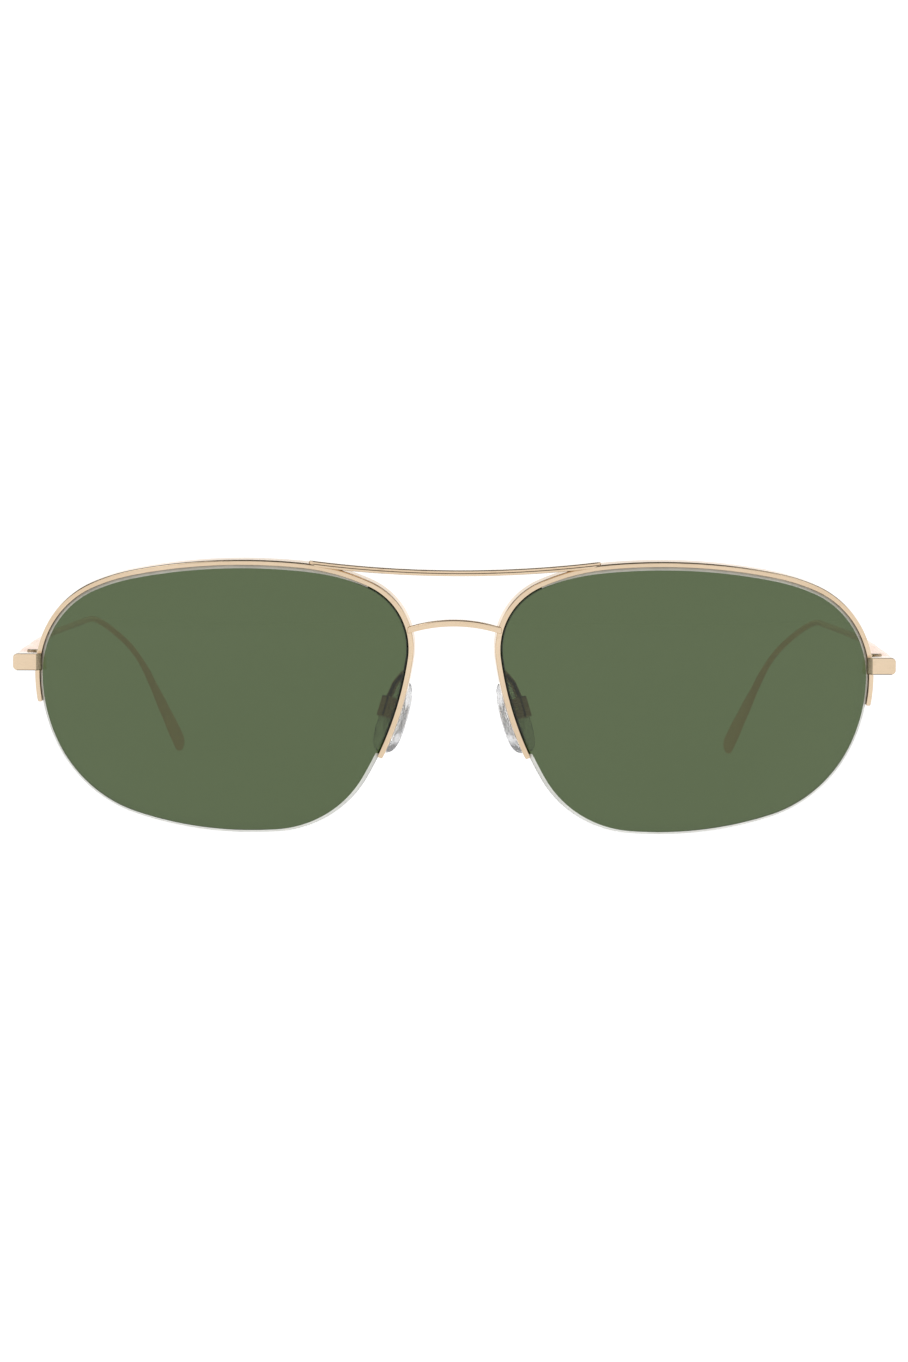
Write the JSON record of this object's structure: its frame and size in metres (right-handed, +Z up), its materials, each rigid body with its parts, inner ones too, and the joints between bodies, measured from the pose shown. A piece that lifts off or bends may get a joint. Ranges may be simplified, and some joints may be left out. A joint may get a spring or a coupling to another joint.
{
  "type": "sunglasses",
  "caption": "Half-rim aviator sunglasses: two curved tinted lenses held by eyewires and a nylon cord, double bridge, wire temples on screw hinges, nose pads on arms.",
  "frame": {"origin": "on the surface that the glasses stand on, under the middle of the object's box", "axes": "+Z up, +Y from the front towards the wearer, +X to the wearer's left, which is the viewer's right when the front is seen"},
  "size_m": [0.1422, 0.1415, 0.0446],
  "materials": {
    "gold_frame": "pale gold plating on titanium, polished",
    "green_lens": "solid green tint, polished, clear ground edge",
    "clear_nylon": "translucent nylon line",
    "screw_metal": "gold-toned steel",
    "clear_silicone": "clear soft silicone, satin"
  },
  "bodies": {
    "front": {"brow_bar": "gold_frame", "bridge": "gold_frame", "right_eyewire": "gold_frame", "right_lens": "green_lens", "right_lens_liner": "clear_nylon", "right_nylon_cord": "clear_nylon", "right_endpiece": "gold_frame", "right_hinge_front": "gold_frame", "right_hinge_screw": "screw_metal", "right_pad_arm": "gold_frame", "right_pad_box": "gold_frame", "right_pad_screw": "screw_metal", "left_eyewire": "gold_frame", "left_lens": "green_lens", "left_lens_liner": "clear_nylon", "left_nylon_cord": "clear_nylon", "left_endpiece": "gold_frame", "left_hinge_front": "gold_frame", "left_hinge_screw": "screw_metal", "left_pad_arm": "gold_frame", "left_pad_box": "gold_frame", "left_pad_screw": "screw_metal"},
    "right_temple": {"right_temple": "gold_frame", "right_hinge_rear": "gold_frame"},
    "right_nose_pad": {"right_nose_pad": "clear_silicone", "right_pad_insert": "screw_metal"},
    "left_temple": {"left_temple": "gold_frame", "left_hinge_rear": "gold_frame"},
    "left_nose_pad": {"left_nose_pad": "clear_silicone", "left_pad_insert": "screw_metal"}
  },
  "joints": [
    {"name": "right_temple_fold", "type": "hinge", "parent": "front", "child": "right_temple", "pos_m": [0.06855, -0.0565, 0.02741], "axis": [0, 0, 1], "range_deg": [0, 84]},
    {"name": "left_temple_fold", "type": "hinge", "parent": "front", "child": "left_temple", "pos_m": [-0.06855, -0.0565, 0.02741], "axis": [0, 0, -1], "range_deg": [0, 79]},
    {"name": "right_pad_rock", "type": "hinge", "parent": "front", "child": "right_nose_pad", "pos_m": [0.0108, -0.06129, 0.02039], "axis": [0.5446, 0.8387, 0], "range_deg": [-8, 8]},
    {"name": "left_pad_rock", "type": "hinge", "parent": "front", "child": "left_nose_pad", "pos_m": [-0.0108, -0.06129, 0.02039], "axis": [0.5446, -0.8387, 0], "range_deg": [-8, 8]}
  ]
}
